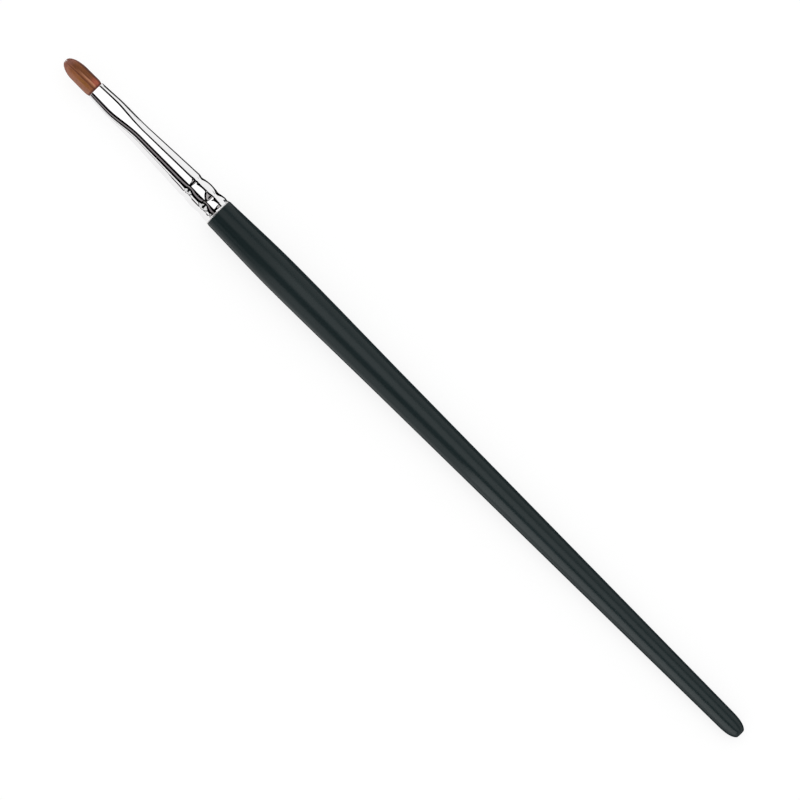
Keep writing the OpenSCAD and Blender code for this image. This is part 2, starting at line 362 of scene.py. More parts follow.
# %% The soft box and its flaps
card("soft_box", (-5, 46), glowing(1.25), first_x=(-3.5, 0.62), last_x=(-3.5, -0.12), lights_up=True)
card("black_flap", (-5, 46), BLACK, first_x=(0.5, 2.6), last_x=(-0.2, 2.6), far=3.1)
card("grey_flap", (16, 46), paint(180, 176, 176), first_x=(0.9, 0.95), last_x=(0.32, 1.12), far=2.85)
card("end_light", (-5, 46), glowing(1.1), first_x=(2.6, 6.0))

# %% [markdown]
# Two fine lines run beside the bands, each from a narrow card. The one towards plus Y ends with the
# ferrule, and the one towards minus Y begins half way along it. A card that hangs near has ends that
# the brush sees in just such places. Only the crimped slopes see the far end of the first.

# %% Cards for the fine lines
card("low_line_card", (-67, -76), paint(60, 52, 54), first_x=(-0.066, -0.04), far=0.06)
card("thin_card", (43, 59), BLACK, first_x=(-0.2, -0.046), far=0.12)
card("thin_end_card", (43, 59), BLACK, first_x=(0.16, 5.0))

# %% [markdown]
# The handle would gather the same cards, broad and blurred, in its satin lacquer. Three bright cards
# hang close over it instead and give it a soft sheen of its own, down both sides.

# %% Cards for the handle's sheen
card("handle_light", (-3, 38), glowing(1.6), first_x=(-0.03, 0.12), last_x=(-0.036, 0.12), far=0.032)
card("front_sheen_card", (-38, -75), glowing(1.5), first_x=(-0.035, 0.02), far=0.03)
card("sheen_card", (-26, -79), glowing(3.0), first_x=(0.02, 0.12), far=0.03)

# %% [markdown]
# At its very edge a round tube shows the table right beside it. Black velvet there draws the dark
# line along the ferrule's far edge, and grey cloth keeps both edges of the handle dark. The flat
# mouth looks out further, over a second piece of velvet and up a low ramp behind it.

# %% Velvet and cloth on the table
BEFORE_MOUTH_X, RIM_X, PAST_TAIL_X = -0.083, -0.0477, 0.1
VELVET_FAR_Y, RAMP_Y = 0.0105, 0.03
RAMP_END_X, RAMP_HIGH = -0.0724, 0.0125
TABLE_CLOTH = paint(70, 74, 76)

cloth("velvet_strip", BLACK, 0.0014, VELVET_FAR_Y, (BEFORE_MOUTH_X, RIM_X))
cloth("mouth_velvet", BLACK, VELVET_FAR_Y, RAMP_Y, (BEFORE_MOUTH_X, -0.0704), (BEFORE_MOUTH_X, -0.0764))
hang("far_ramp", [(BEFORE_MOUTH_X, RAMP_Y, 0.0), (RAMP_END_X, RAMP_Y, 0.0),
                  (RAMP_END_X, RAMP_Y, LOWEST_EDGE), (BEFORE_MOUTH_X, RAMP_Y, RAMP_HIGH)], BLACK)
cloth("far_cloth", TABLE_CLOTH, 0.0014, 0.06, (RIM_X, PAST_TAIL_X))
cloth("near_cloth", TABLE_CLOTH, -0.005, -0.0014, (RIM_X, PAST_TAIL_X))

# %% [markdown]
# ## The brush's own axis
#
# A turned brush is easiest to draw along its own axis in millimetres: the mouth of the ferrule at
# zero, the hair towards minus x, the handle towards plus x. Lying on its belly and its tail it leans
# by less than a degree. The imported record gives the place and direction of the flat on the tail, and
# from that one mount every drawn point can be laid down where the CAD lies.

# %% From the brush's axis to the table
FERRULE_LEN = 31.7
HANDLE_LEN = 135.0
TAIL_X = FERRULE_LEN + HANDLE_LEN

tail_flat = next(m for m in frame["record"]["mounts"] if m["name"] == "tail_flat")
along_brush = np.array(Vector(tail_flat["axis"]).normalized())
out_of_table = np.array((-along_brush[2], 0, along_brush[0]))
towards_y = np.array((0, 1, 0))


def laid_down(points):
    """Points in millimetres on the brush's own axes, as metres on the table."""
    steps = ((points[..., :1] - TAIL_X) * along_brush
             + points[..., 1:2] * towards_y + points[..., 2:] * out_of_table)
    return np.array(tail_flat["pos_m"]) + steps / 1000


mouth = laid_down(np.zeros(3))
print("the ferrule's mouth is at", [round(c * 1000, 2) for c in mouth], "mm")


# %% [markdown]
# ## Curves
#
# The outlines come from a few curves: an even mix of two values, a smooth step, and an ease, which
# leaves one height and arrives at another with the slopes it is given. An oval with a power above 2
# is a little squarer than an ellipse. A skin is a mesh laid over rings of points, one after another.

# %% Small curves
def mix(a, b, t):
    return a + (b - a) * t


def smooth(t):
    t = np.clip(t, 0, 1)
    return t * t * (3 - 2 * t)


def ease(t, r0, slope0, r1, slope1, span):
    return mix(r0, r1, smooth(t)) + span * slope0 * t * (1 - t) ** 2 - span * slope1 * t * t * (1 - t)


def squared(wave, power):
    return np.sign(wave) * abs(wave) ** (2 / power)


def oval_point(half_y, half_z, power, u):
    """A point on an oval of the given squareness, at share u of the way around from plus Y."""
    turned = 2 * math.pi * u
    return half_y * squared(np.cos(turned), power), half_z * squared(np.sin(turned), power)


def ring(x, half_y, half_z, around, power=2.0):
    """One closed ring of points at x. Equal halves and a power of 2 make it round."""
    y, z = oval_point(half_y, half_z, power, np.arange(around) / around)
    return np.stack((np.full(around, x), y, z), axis=1)


SHARPEST_SMOOTH_DEG = 40


def skin(name, rings, closed=False):
    """A smooth mesh through rings of equal size, closed into a loop or by a flat cap at each end."""
    rings = np.array(rings)
    count, around = rings.shape[:2]
    rows = np.arange(count * around).reshape(count, around)
    ahead = np.roll(rows, -1, axis=0) if closed else rows[1:]
    here = rows if closed else rows[:-1]
    corners = (here, np.roll(here, -1, 1), np.roll(ahead, -1, 1), ahead)
    faces = np.stack(corners, axis=-1).reshape(-1, 4).tolist()
    if not closed:
        faces += [rows[0][::-1].tolist(), rows[-1].tolist()]
    mesh = bpy.data.meshes.new(name)
    mesh.from_pydata(laid_down(rings.reshape(-1, 3)).tolist(), [], faces)
    mesh.shade_smooth()
    mesh.set_sharp_from_angle(angle=math.radians(SHARPEST_SMOOTH_DEG))
    piece = bpy.data.objects.new(name, mesh)
    bpy.context.scene.collection.objects.link(piece)
    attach(piece, "root")
    print(f"{name}: {len(mesh.vertices)} points, {len(mesh.polygons)} faces")
    return piece


print("how far the corner of a circle and of a squarer oval reach:",
      [round(float(oval_point(1, 1, power, 1 / 8)[0]), 3) for power in (2, 3)])

# %% [markdown]
# ## The ferrule
#
# A ferrule starts as a short tube, a little wider at one end, drawn from thin brass and plated with
# nickel. Its small end is pressed to a flat oval round the hair, which changes its shape and keeps
# its girth. In bright metal every facet of a mesh shows as a kink in a reflection, so this skin is
# much finer than the solid: the same shape, with its grooves rounded and its two edges turned over.

# %% The cone and its pressed mouth
WALL = 0.22
MOUTH_W, MOUTH_T, MOUTH_POWER = 3.6, 2.0, 2.35
RIM_D = 5.76
PRESS_LEN, ROUND_FROM = 4.0, 12.0

mouth_girth_r = MOUTH_T / 2 + (MOUTH_W - MOUTH_T) / math.pi


def cone_r(x):
    return mix(mouth_girth_r, RIM_D / 2, x / FERRULE_LEN)


def roundness(x):
    return smooth((x - PRESS_LEN) / (ROUND_FROM - PRESS_LEN))


def press_power(x):
    return mix(MOUTH_POWER, 2, roundness(x))


def half_sizes(x):
    """Half the width and half the thickness over the pressed tube at x."""
    ratio = mix(MOUTH_T / MOUTH_W, 1, roundness(x))
    half_w = math.pi * cone_r(x) / (math.pi * ratio + 2 * (1 - ratio))
    return half_w, ratio * half_w


print("half width and thickness, 6 mm in:", [round(half, 2) for half in half_sizes(6.0)], "mm")


# %% [markdown]
# The wide end is crimped onto the handle in two grooves, with a bead left standing between them.
# Thin metal doesn't bend in a crease, so the outline is averaged over a short way, which rounds it.

# %% The two crimped grooves
BEAD_D = 5.46
FRONT_CRIMP, REAR_CRIMP = FERRULE_LEN - 6.6, FERRULE_LEN - 2.6
FRONT_DEPTH, REAR_DEPTH, CRIMP_LEAD = 0.22, 0.3, 0.8
GROOVE_ROUNDING, ROUNDING_SAMPLES = 0.26, 15

front_valley = cone_r(FRONT_CRIMP) - FRONT_DEPTH
rear_valley = cone_r(REAR_CRIMP) - REAR_DEPTH
bead_rise = BEAD_D / 2 - (front_valley + rear_valley) / 2


def crimp_dent(x):
    """How far the crimping pulls the outline in from the plain cone at x."""
    lead = (x - FRONT_CRIMP + CRIMP_LEAD) / CRIMP_LEAD
    bead = (x - FRONT_CRIMP) / (REAR_CRIMP - FRONT_CRIMP)
    flare = (x - REAR_CRIMP) / (FERRULE_LEN - REAR_CRIMP)
    before = mix(cone_r(FRONT_CRIMP - CRIMP_LEAD), front_valley, smooth(lead))
    between = mix(front_valley, rear_valley, bead) + 4 * bead_rise * bead * (1 - bead)
    behind = mix(rear_valley, RIM_D / 2, 1 - (1 - np.minimum(flare, 1)) ** 2)
    r = np.where(bead < 0, before, np.where(flare < 0, between, behind))
    return np.where(lead < 0, 0, cone_r(np.minimum(x, FERRULE_LEN)) - r)


print(f"valleys {front_valley:.2f} and {rear_valley:.2f} mm from the axis")


# %% [markdown]
# The crimping leaves two more marks in the metal, too faint for the solid: a shallow neck before the
# rim, which ends in a narrow lip, and around each groove eight slight flats, one for each jaw of the
# tool. They are 0.03 to 0.16 mm deep, which is enough to bend what the metal mirrors.

# %% The neck, the lip and the marks of the jaws
NECK_LEN, NECK_DEPTH, LIP_LEN, LIP_BEND = 0.9, 0.16, 0.27, 0.12
JAWS, JAW_REACH, FIRST_JAW_DEG = 8, 0.9, 79.5
JAW_DEPTHS = {FRONT_CRIMP: 0.03, REAR_CRIMP: 0.05}

lip_x = FERRULE_LEN - LIP_LEN


def neck_dent(x):
    """The shallow neck before the rim, which ends in a lip with a rounded front."""
    up_the_lip = np.clip((x - lip_x) / LIP_BEND, 0, 1)
    down_the_neck = smooth((x - lip_x + NECK_LEN) / NECK_LEN)
    return NECK_DEPTH * down_the_neck * (1 - np.sqrt(up_the_lip * (2 - up_the_lip)))


def metal_r(x):
    """The crimped outline with its grooves rounded, as thin metal bends, and with its neck."""
    near = np.linspace(-GROOVE_ROUNDING, GROOVE_ROUNDING, ROUNDING_SAMPLES)
    return float(cone_r(x) - np.mean(crimp_dent(np.clip(x + near, 0, FERRULE_LEN))) - neck_dent(x))


def jaw_marks(x, turned):
    """How far the jaws of the crimping tool press the metal in at x, by the angle from plus Y."""
    pressed = sum(depth * math.exp(-((x - groove_x) / JAW_REACH) ** 2)
                  for groove_x, depth in JAW_DEPTHS.items())
    return pressed * np.cos(JAWS * (turned - math.radians(FIRST_JAW_DEG)))


def metal_ring(x, gap, around=256):
    """A ring of the skin at x, a gap below the outside of the metal."""
    half_w, half_t = half_sizes(x) if x < ROUND_FROM else (metal_r(x), metal_r(x))
    points = ring(x, half_w - gap, half_t - gap, around, press_power(x))
    turned = 2 * math.pi * np.arange(around)[:, None] / around
    points[:, 1:] *= 1 - jaw_marks(x, turned) / half_w
    return points


print(f"the lip is {metal_r(FERRULE_LEN) * 2:.2f} mm across")


# %% [markdown]
# The skin is one closed loop of rings: through the inside from the rim to the mouth, round the edge
# of the mouth, along the outside where everyone looks, and round the edge of the rim.

# %% Build the ferrule's skin, inside and outside
MOUTH_RINGS, CONE_RINGS, CRIMP_RINGS = 64, 24, 96
EDGE_STEP_DEG = 20

edge_r = WALL / 2
edge_bends = np.radians(np.arange(0, 181, EDGE_STEP_DEG))[1:-1]
fine_places = np.concatenate((
    np.linspace(edge_r, ROUND_FROM, MOUTH_RINGS, endpoint=False),
    np.linspace(ROUND_FROM, FRONT_CRIMP - CRIMP_LEAD, CONE_RINGS, endpoint=False),
    np.linspace(FRONT_CRIMP - CRIMP_LEAD, FERRULE_LEN - edge_r, CRIMP_RINGS)))
rings = [metal_ring(x, WALL) for x in fine_places[::-2]]
rings += [metal_ring(edge_r * (1 - math.sin(a)), edge_r * (1 + math.cos(a))) for a in edge_bends]
rings += [metal_ring(x, 0) for x in fine_places]
rings += [metal_ring(FERRULE_LEN - edge_r * (1 - math.sin(a)), edge_r * (1 - math.cos(a)))
          for a in edge_bends]
ferrule = skin("bright_ferrule", rings, closed=True)
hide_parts("ferrule")

# %% [markdown]
# Nickel plate is a metal, so its colour tints the reflection and there is nothing below it. What makes
# it look used and real is in the roughness: faint rings left by polishing on a lathe, and soft marks
# from handling. Both are far below a tenth of a millimetre, so they are a bump and a small change of
# roughness, and not geometry. The lip was cut and only tumbled, so it is satin and reads light grey.

# %% Nickel plate
LIP_EDGE_FROM, LIP_EDGE_TO = lip_x - 0.02, lip_x + 0.06


def along_table(x):
    """Where a place on the brush's axis comes to stand along the table, in metres."""
    return float(laid_down(np.array((x, 0.0, 0.0)))[0])


nickel, plate, plate_shader = finish("bright_nickel_plate")
polish_rings = plate.noise(plate.stretched(26000, 500, 500), 1)
handling = plate.noise(plate.stretched(420, 420, 420), 1, detail=4)
place_x = plate.node("SeparateXYZ", {}, {"Vector": plate.stretched(1, 1, 1)})
satin_lip = plate.fade_in(place_x, along_table(LIP_EDGE_FROM), along_table(LIP_EDGE_TO))
plate.plug(plate_shader, {
    "Base Color": plate.mixed(handling, paint(236, 235, 235), paint(243, 243, 244)),
    "Metallic": 1.0,
    "Roughness": 0.02 + 0.04 * handling ** 3 + 0.45 * satin_lip,
    "Normal": plate.node("Bump", {}, {"Strength": 0.05, "Distance": 0.00002, "Height": polish_rings}),
})
ferrule.data.materials.append(nickel)
print(f"the satin lip begins at {along_table(LIP_EDGE_FROM) * 1000:.2f} mm on the table")

# %% [markdown]
# ## The handle
#
# The handle is turned from hardwood: square against the ferrule, fullest where two fingers hold it,
# then a long straight taper to a rounded tail with a small flat, and a tenon inside the ferrule. A
# wooden turning has no facets, so it is turned again here from the same outline with four times as
# many steps. The last step keeps the small round on the shoulder's edge, which catches the light.

# %% The outline of the handle
SHOULDER_D, SHOULDER_ROUND, SHOULDER_SLOPE = 5.86, 0.15, 0.02
BELLY_D, BELLY_BACK = 6.6, 16.0
TAPER_D, TAPER_BACK, TAIL_D = 5.84, 45.0, 3.74
TAIL_ROUND, TAIL_FLAT_D, TAIL_POWER = 4.0, 1.8, 2.6
TENON_LEN, FIT, JUST_INSIDE = 11.9, 0.02, 0.001
BEND_STEP_DEG, HANDLE_AROUND = 10, 160

taper_slope = (TAIL_D - TAPER_D) / 2 / (HANDLE_LEN - TAPER_BACK)


def taper_r(x):
    return TAPER_D / 2 + taper_slope * (x - FERRULE_LEN - TAPER_BACK)


flat_share = (1 - (TAIL_FLAT_D / 2 / taper_r(TAIL_X)) ** TAIL_POWER) ** (1 / TAIL_POWER)


def tail_point(t):
    """A point on the rounded tail, from 0 where the round begins to 1 at the flat."""
    x = TAIL_X - TAIL_ROUND * (1 - t)
    return x, taper_r(x) * (1 - (t * flat_share) ** TAIL_POWER) ** (1 / TAIL_POWER)


tenon = [(x, metal_r(x) - WALL - FIT)
         for x in np.linspace(FERRULE_LEN - TENON_LEN, FERRULE_LEN - JUST_INSIDE, 60)]
shoulder = [(FERRULE_LEN + SHOULDER_ROUND * (1 - math.cos(a)),
             SHOULDER_D / 2 - SHOULDER_ROUND * (1 - math.sin(a)))
            for a in np.radians(np.arange(0, 91, BEND_STEP_DEG))]
front = [(FERRULE_LEN + x,
          ease(x / BELLY_BACK, SHOULDER_D / 2, SHOULDER_SLOPE, BELLY_D / 2, 0, BELLY_BACK))
         for x in np.linspace(SHOULDER_ROUND, BELLY_BACK, 48)[1:]]
back = [(FERRULE_LEN + mix(BELLY_BACK, TAPER_BACK, t),
         ease(t, BELLY_D / 2, 0, TAPER_D / 2, taper_slope, TAPER_BACK - BELLY_BACK))
        for t in np.linspace(0, 1, 49)[1:]]
straight = [(x, taper_r(x))
            for x in np.linspace(FERRULE_LEN + TAPER_BACK, TAIL_X - TAIL_ROUND, 91)[1:]]
tail = [tail_point(t) for t in np.sin(np.linspace(0, math.pi / 2, 41))[1:]]
outline = tenon + shoulder + front + back + straight + tail
print(f"{len(outline)} steps, {max(r for x, r in outline) * 2:.2f} mm across at the fullest")

# %% Turn the handle
handle = skin("lacquered_handle", [ring(x, r, r, HANDLE_AROUND) for x, r in outline])
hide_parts("handle")

# %% [markdown]
# The lacquer is a satin black with a cold green cast. Two or three thin coats over sanded wood never
# lie dead flat: they carry a faint long waviness from the grain below and a very fine orange peel, and
# the satin varies a little where fingers have polished it. The tenon was never lacquered, so its faces
# get a second material, of bare wood.

# %% Satin lacquer
lacquer, coat, coat_shader = finish("satin_black_lacquer")
grain = coat.noise(coat.stretched(60, 900, 900), 1, detail=4)
peel = coat.noise(coat.stretched(2600, 2600, 2600), 1)
rubbed = coat.noise(coat.stretched(90, 260, 260), 1, detail=5)
waviness = 0.7 * grain + 0.3 * peel
coat.plug(coat_shader, {
    "Base Color": coat.mixed(grain, paint(20, 32, 33), paint(25, 37, 39)),
    "Roughness": 0.24 + 0.08 * rubbed,
    "Specular IOR Level": 0.2,
    "Normal": coat.node("Bump", {}, {"Strength": 0.12, "Distance": 0.00003, "Height": waviness}),
})
handle.data.materials.append(lacquer)
print(f"{lacquer.name}: {len(coat.tree.nodes)} nodes")

# %% Bare wood on the tenon
INSIDE_BY = 0.00002

bare_wood, cut, cut_shader = finish("bare_hardwood")
fibres = cut.noise(cut.stretched(120, 3200, 3200), 1, detail=6)
cut.plug(cut_shader, {
    "Base Color": cut.mixed(fibres, paint(196, 156, 108), paint(222, 190, 146)),
    "Roughness": 0.62 + 0.12 * fibres,
    "Normal": cut.node("Bump", {}, {"Strength": 0.3, "Distance": 0.00005, "Height": fibres}),
})
handle.data.materials.append(bare_wood)
rim_x = along_table(FERRULE_LEN)
inside_ferrule = [face.center.x < rim_x - INSIDE_BY for face in handle.data.polygons]
handle.data.polygons.foreach_set("material_index", np.array(inside_ferrule, dtype=np.int32))
print(sum(inside_ferrule), "faces of the tenon are bare wood")

# %% [markdown]
# ## The shape of the tuft
#
# A filbert tuft is cupped in a mould, so that the hairs stand in a flat oval at the mouth, swell a
# little, thin towards the tip and end in a dome. A parting runs down from the tip, a little off the
# middle. Every hair has an address: a share of the way around the mouth, and a depth below the
# surface. One function turns addresses and a share of the hair's length into points, and the dark
# core and all the hairs are built from it, so that they keep to one shape.

# %% The dome, the locks and the parting
HAIR_OUT, HAIR_W, SPREAD_LEN = 7.8, 3.58, 0.8
FULL_SIDE, SLOPE_SIDE, DOME_POWER, LEAN_IN = 3.6, 3.8, 2.05, 0.55
LOCKS, LOCK_DEPTH = 30, 0.09
LOCK_DRIFTS_DEG = ((35, 3, 0), (25, 7, 60))
PARTING_LEN, PARTING_WIDTH, PARTING_NOTCH, PARTING_DEPTH = 3.4, 0.1, 0.05, 0.35
PARTING_LOW, PARTING_TIP = 0.04, -0.12

root_half_w, root_half_t = (half - WALL - FIT for half in half_sizes(0.0))


def dome_len(side):
    return np.where(side < 0, FULL_SIDE, SLOPE_SIDE)


def dome_width(x, side):
    t = np.clip(1 + (x - HAIR_OUT) / dome_len(side), 0, 1)
    return (1 - t ** DOME_POWER) ** (1 / DOME_POWER)


def hair_len(side):
    meets = abs(side) * (1 - LEAN_IN) / (1 - LEAN_IN * abs(side))
    return HAIR_OUT - dome_len(side) * (1 - (1 - meets ** DOME_POWER) ** (1 / DOME_POWER))


def lock_phase(u):
    """Rises by one from each lock of hair to the next. Two slow waves make the locks differ in width."""
    turned = 2 * math.pi * u
    drift = sum(height * np.sin(waves * turned + math.radians(start))
                for height, waves, start in LOCK_DRIFTS_DEG)
    return LOCKS * u + drift / 180


def lock_groove(u):
    """One in the groove between two locks, and zero in the middle of a lock."""
    return 1 - abs(np.sin(math.pi * lock_phase(u)))


def parting(side, share):
    off = (side - mix(PARTING_LOW, PARTING_TIP, share)) / PARTING_WIDTH
    return np.exp(-off ** 2) * smooth((share * HAIR_OUT - HAIR_OUT + PARTING_LEN) / PARTING_LEN)


print("length of a hair in the middle and at the edge:",
      [round(float(hair_len(side)), 2) for side in (0.0, 1.0)], "mm")

# %% Where a hair goes
EDGE_T, SWELL, THIN_POWER = 0.18, 0.1, 1.7
ROOT_GROOVE, LOWER_NOTCH = 0.3, 0.4


def hair_points(u, depth, share, short):
    """Points on hairs, by their way around, their depth from 0 to 1, and the share of their length."""
    side = oval_point(1, 1, MOUTH_POWER, u)[0] * (1 - depth)
    upper = u % 1 < 0.5
    notch = PARTING_NOTCH * parting(side, 1) * np.where(upper, 1, LOWER_NOTCH)
    x = (hair_len(side) - smooth(2 * share - 1) * (short + notch)) * share
    spread = smooth(x / SPREAD_LEN)
    sunk = LOCK_DEPTH * lock_groove(u) * mix(ROOT_GROOVE, 1, spread)
    y, z = oval_point(mix(root_half_w, HAIR_W / 2, spread) - sunk,
                      root_half_t * (1 + SWELL * spread) - sunk, MOUTH_POWER, u)
    narrow = 1 - LEAN_IN * (1 - dome_width(x, side))
    thin = mix(1, EDGE_T / 2 / root_half_t, share ** THIN_POWER)
    parted = np.where(upper, 1 - PARTING_DEPTH * parting(side, share), 1)
    inward = 1 - depth
    return np.stack((-x, y * narrow * inward, z * thin * parted * inward), axis=-1)


print("the tip of a hair in the middle:", hair_points(0.25, 0.0, 1.0, 0.0).round(2).tolist(), "mm")

# %% [markdown]
# ## The core and the root
#
# Between the hairs of a real tuft there are only more hairs, in deepening shade. A dark core just
# under the surface stands for all of those. Behind the mouth it becomes the root: the ferrule
# squeezes it, then the thread gathers it into a round, up to the cut butts at its end.

# %% Build the core
ROOT_LEN, THREAD_BACK, THREAD_D, THREAD_TURNS, THREAD_BED = 12.2, 0.9, 0.14, 9, 0.08
CORE_DEPTH, CORE_SHORT, CORE_AROUND = 0.1, 0.4, 240
CORE_RINGS, ROOT_RINGS = 30, 26

tie_x = ROOT_LEN - THREAD_BACK
tie_len = THREAD_D * (1 + (THREAD_TURNS - 1) * (1 - THREAD_BED))
tie_r = half_sizes(tie_x - tie_len)[1] - WALL - THREAD_D - 2 * FIT
core_u = np.arange(CORE_AROUND) / CORE_AROUND


def root_ring(x):
    sunk = WALL + FIT + ROOT_GROOVE * LOCK_DEPTH * lock_groove(core_u)
    tied = smooth((x - tie_x + 3 * tie_len) / (2 * tie_len))
    half_w, half_t = half_sizes(x)
    y, z = oval_point(mix(half_w - sunk, tie_r, tied), mix(half_t - sunk, tie_r, tied),
                      mix(press_power(x), 2, tied), core_u)
    return np.stack((np.full(CORE_AROUND, x), y, z), axis=1)


core_depth = np.full(CORE_AROUND, CORE_DEPTH)
loose = [hair_points(core_u, core_depth, np.full(CORE_AROUND, share), CORE_SHORT)
         for share in np.linspace(1, 0, CORE_RINGS)]
rooted = [root_ring(x) for x in np.linspace(0, ROOT_LEN, ROOT_RINGS)[1:]]
core = skin("hair_core", loose + rooted)
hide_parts("hair_tuft")

# %% [markdown]
# ## The hairs
#
# Each hair is a thin tube of five sides, from just inside the mouth to its own fine point. Blender has
# a hair system, but its curves don't become a mesh that other programs read, so the tubes are built
# directly, all at once, with arrays. Hairs are not spread evenly: they cling together in locks, more
# so towards the tip. Each hair therefore slides a little towards the middle of its lock on the way.

# %% Tubes for all hairs at once
HAIR_D, HAIR_SIDES, FINE_POINT, BUTT_THICK = 0.075, 5, 0.88, 0.9


def hair_tubes(way, share):
    """Points and faces of thin tubes along the ways of many hairs, each down to its fine point."""
    thick = HAIR_D / 2 * np.concatenate(([BUTT_THICK], 1 - FINE_POINT * share ** 3))
    corner = 2 * math.pi * np.arange(HAIR_SIDES) / HAIR_SIDES
    tube = np.stack((np.zeros(HAIR_SIDES), np.cos(corner), np.sin(corner)), axis=1)
    points = way[:, :, None, :] + thick[:, None, None, None] * tube
    rows = np.arange(points[..., 0].size).reshape(points.shape[:3])
    here, ahead = rows[:-1], rows[1:]
    corners = (here, ahead, np.roll(ahead, -1, 2), np.roll(here, -1, 2))
    faces = np.stack(corners, axis=-1).reshape(-1, 4).tolist()
    return points, faces + rows[-1][:, ::-1].tolist() + rows[0].tolist()


def note_fact(mesh, fact, values, shape):
    """Writes a number for every point of the hairs, for the finish to read."""
    spread = np.broadcast_to(values, shape).astype(np.float32)
    mesh.attributes.new(fact, "FLOAT", "POINT").data.foreach_set("value", spread.ravel())


print(f"a hair is {HAIR_D * 1000:.0f} thousandths of a millimetre thick")


# %% [markdown]
# No two hairs are quite alike. Each has its own depth in the tuft and its own tone, ends a little
# short of the dome and sways a little on its way, all drawn at random from a fixed seed. The pale side
# is more ragged than the other. Each lock also has a tone and a length that its hairs share.

# %% Draw what differs from hair to hair
HAIRS_PER_SIDE, SWAY = 1500, 0.012
DEEPEST, NEAR_SURFACE = 0.32, 1.5
RAGGED, RAGGED_PALE, PALE_SIDE, MOSTLY_LONG, LOCK_RAGGED = 0.3, 0.6, -0.2, 2, 0.14
LOCK_TONES = LOCKS + 4


def draw_hairs(first_u, last_u, seed):
    """Where each hair stands, its depth, how much it falls short, its sway, and facts for the finish."""
    rng = np.random.default_rng(seed)
    place = np.arange(HAIRS_PER_SIDE) + rng.random(HAIRS_PER_SIDE)
    u = first_u + (last_u - first_u) * place / HAIRS_PER_SIDE
    side = oval_point(1, 1, MOUTH_POWER, u)[0]
    depth = DEEPEST * rng.random(HAIRS_PER_SIDE) ** NEAR_SURFACE
    most_short = np.where(side < PALE_SIDE, RAGGED_PALE, RAGGED)
    short = most_short * rng.random(HAIRS_PER_SIDE) ** MOSTLY_LONG
    lock = np.floor(lock_phase(u)).astype(int) % LOCK_TONES
    lock_tone = rng.random(LOCK_TONES)[lock]
    short += LOCK_RAGGED * rng.random(LOCK_TONES)[lock]
    strand_tone = rng.random(HAIRS_PER_SIDE)
    sway = rng.normal(0, SWAY, (2, HAIRS_PER_SIDE))
    return u, depth, short, sway, {"lock_tone": lock_tone, "strand_tone": strand_tone, "side": side}


print(f"{HAIRS_PER_SIDE} hairs to each face of the tuft, in {LOCKS} locks all around")


# %% [markdown]
# Seen from the mouth, a hair follows its address, slides towards the middle of its lock and sways. A
# short butt of every hair reaches back into the mouth of the ferrule.

# %% Lead the hairs along their ways
HAIR_STEPS, CLING = 12, 0.45
SWAY_ACROSS, SWAY_UP, SWAY_START = 5, 4, 6
BUTT_LEN, BUTT_NARROW = 0.8, 0.96

step_shares = np.linspace(0, 1, HAIR_STEPS)


def hair_ways(u, depth, short, sway, start):
    """Points along the middle of many hairs, from the butt inside the ferrule to the tip."""
    slide = (np.floor(lock_phase(u)) + 0.5 - lock_phase(u)) / LOCKS
    way = np.stack([
        hair_points(u + CLING * t ** 2 * slide, depth + HAIR_D / 2 / root_half_w,
                    np.full(HAIRS_PER_SIDE, t), short)
        for t in step_shares])
    way[:, :, 1] += sway[0] * np.sin(step_shares * SWAY_ACROSS + start)[:, None]
    way[:, :, 2] += sway[1] * np.sin(step_shares * SWAY_UP)[:, None]
    butt = way[:1] + np.array((BUTT_LEN, 0, 0))
    butt[:, :, 1:] *= BUTT_NARROW
    return np.concatenate((butt, way))


print(f"a hair's way has {HAIR_STEPS + 1} points, with the end of its butt")


# %% [markdown]
# All hairs of one face become one mesh. What the finish has to know of each hair goes into the mesh
# as well: the tone of its lock, its own tone, its side, and the share of its length at each point.

# %% Grow the hairs
def grow(name, first_u, last_u, seed):
    """The hairs over one face of the tuft, as one mesh."""
    u, depth, short, sway, facts = draw_hairs(first_u, last_u, seed)
    way = hair_ways(u, depth, short, sway, SWAY_START * facts["strand_tone"][0])
    points, faces = hair_tubes(way, step_shares)
    mesh = bpy.data.meshes.new(name)
    mesh.from_pydata(laid_down(points.reshape(-1, 3)).tolist(), [], faces)
    mesh.shade_smooth()
    for fact, values in facts.items():
        note_fact(mesh, fact, values[None, :, None], points.shape[:3])
    note_fact(mesh, "share", np.concatenate(([0], step_shares))[:, None, None], points.shape[:3])
    piece = bpy.data.objects.new(name, mesh)
    bpy.context.scene.collection.objects.link(piece)
    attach(piece, "root")
    mesh.calc_loop_triangles()
    print(f"{name}: {HAIRS_PER_SIDE} hairs, {len(mesh.loop_triangles)} triangles")
    return piece


upper_hairs = grow("upper_hairs", 0.0, 0.5, seed=5)
lower_hairs = grow("lower_hairs", 0.5, 1.0, seed=6)

# %% [markdown]
# Brown hair is never one brown. Each hair and each lock has its own tone, and longer streaks run through
# the tuft: redder hair near the mouth towards plus Y, a golden patch low in the middle, and pale tips.
# Light and shade are painted in too: a pale streak low in the middle is painted highlight, darker hair
# along the parting, along the plus Y edge and at the mouth is painted shade, and a pale strip along the
# minus Y edge is painted sheen. The streaks are masks in the hair's own address, so they follow the
# hairs as these lean in.

# %% Where the streaks run
def streak(board, side, middle, width):
    """One at the middle of a streak, falling away to nothing at its width on both sides."""
    off = (side - middle) / width
    return board.node("Math", {"operation": "MAXIMUM"}, {0: 1 - off * off, 1: 0.0})


HAIR_FACTS = ("lock_tone", "strand_tone", "side", "share")

